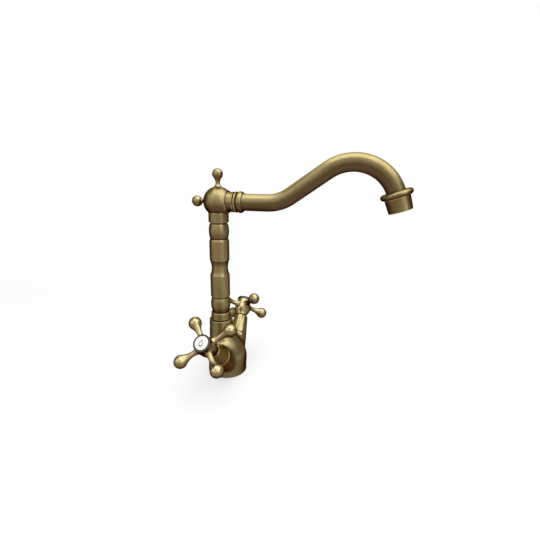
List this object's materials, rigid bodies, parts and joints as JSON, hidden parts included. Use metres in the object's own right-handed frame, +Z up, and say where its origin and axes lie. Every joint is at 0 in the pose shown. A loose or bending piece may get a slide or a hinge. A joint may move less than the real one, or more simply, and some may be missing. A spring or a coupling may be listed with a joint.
{
  "type": "kitchen mixer tap",
  "caption": "Antique brass kitchen mixer tap with a swan-neck spout that swivels on a turned column, cross handles on ceramic disc valves and a clamp for the worktop.",
  "frame": {"origin": "centre of the round base, on the plane where it rests on the worktop", "axes": "+X the way the spout points at rest, +Y towards the cold valve, +Z up"},
  "size_m": [0.2486, 0.1778, 0.3269],
  "materials": {
    "cast_brass": "brushed antique brass, clear lacquer",
    "turned_brass": "brushed antique brass, turned",
    "tube_brass": "brushed antique brass, drawn tube",
    "plain_brass": "machined",
    "fixing_steel": "plated",
    "black_rubber": "matt",
    "white_plastic": "matt",
    "dark_plastic": "matt",
    "ceramic": "ground ceramic, stated here as gloss plastic",
    "index_enamel": "glossy white enamel"
  },
  "bodies": {
    "tap": {"tap_body": "cast_brass", "base_gasket": "black_rubber", "fixing_stud": "fixing_steel", "clamp_pad": "black_rubber", "clamp_plate": "fixing_steel", "nut_washer": "fixing_steel", "fixing_nut": "plain_brass", "lock_screw": "fixing_steel", "swivel_washer": "dark_plastic", "hot_bonnet": "turned_brass", "hot_cartridge": "plain_brass", "hot_seat_washer": "black_rubber", "hot_fixed_disc": "ceramic", "cold_bonnet": "turned_brass", "cold_cartridge": "plain_brass", "cold_seat_washer": "black_rubber", "cold_fixed_disc": "ceramic"},
    "spout": {"swivel_column": "turned_brass", "swivel_seals": "black_rubber", "head_ball": "turned_brass", "finial": "turned_brass", "rear_knob": "turned_brass", "spout_ferrule": "turned_brass", "spout_tube": "tube_brass", "outlet_bead": "turned_brass", "aerator_shell": "turned_brass", "aerator_washer": "black_rubber", "aerator_insert": "white_plastic", "aerator_screen": "fixing_steel"},
    "hot_valve": {"hot_spindle": "plain_brass", "hot_spindle_seal": "black_rubber", "hot_spindle_clip": "fixing_steel", "hot_moving_disc": "ceramic", "hot_handle": "cast_brass", "hot_handle_screw": "fixing_steel", "hot_index_rim": "turned_brass", "hot_index_disc": "index_enamel"},
    "cold_valve": {"cold_spindle": "plain_brass", "cold_spindle_seal": "black_rubber", "cold_spindle_clip": "fixing_steel", "cold_moving_disc": "ceramic", "cold_handle": "cast_brass", "cold_handle_screw": "fixing_steel", "cold_index_rim": "turned_brass", "cold_index_disc": "index_enamel"}
  },
  "joints": [
    {"name": "spout_swivel", "type": "hinge", "parent": "tap", "child": "spout", "pos_m": [-0.008, 0, 0.06], "axis": [0, 0, 1], "continuous": true},
    {"name": "hot_handle_turn", "type": "hinge", "parent": "tap", "child": "hot_valve", "pos_m": [0.0056, 0, 0.006], "axis": [-0.0643, -0.7345, 0.6756], "range_deg": [0, 90]},
    {"name": "cold_handle_turn", "type": "hinge", "parent": "tap", "child": "cold_valve", "pos_m": [0.0056, 0, 0.006], "axis": [-0.0643, 0.7345, 0.6756], "range_deg": [-90, 0]}
  ]
}
